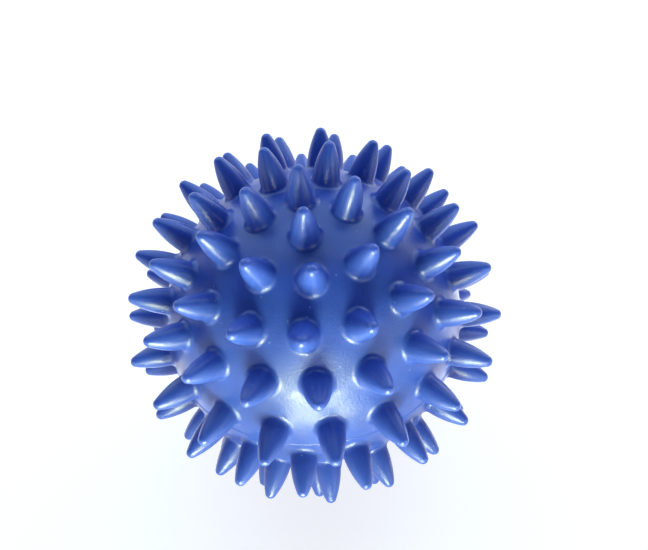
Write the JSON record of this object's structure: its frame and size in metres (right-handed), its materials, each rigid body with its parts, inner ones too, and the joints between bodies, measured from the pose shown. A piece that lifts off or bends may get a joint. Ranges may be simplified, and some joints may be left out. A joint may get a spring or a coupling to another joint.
{
  "type": "spiky massage ball",
  "caption": "Hollow ball with tapered, round-ended spikes in rings round one axis, moulded in two shells joined on a lapped rim, with a needle valve at the lower pole.",
  "frame": {"origin": "centre of the ball", "axes": "+Z along the axis of the rings of spikes, from the centre to the single spike at the upper pole; the needle valve is at the lower pole, on -Z; +X is any equatorial direction"},
  "size_m": [0.0893, 0.0894, 0.0881],
  "materials": {
    "ball_vinyl": "satin-gloss moulded vinyl with a fine grain",
    "valve_rubber": "matt moulded rubber"
  },
  "bodies": {
    "root": {"upper_shell": "ball_vinyl", "lower_shell": "ball_vinyl", "valve_housing": "valve_rubber", "valve_core": "valve_rubber"}
  },
  "joints": []
}
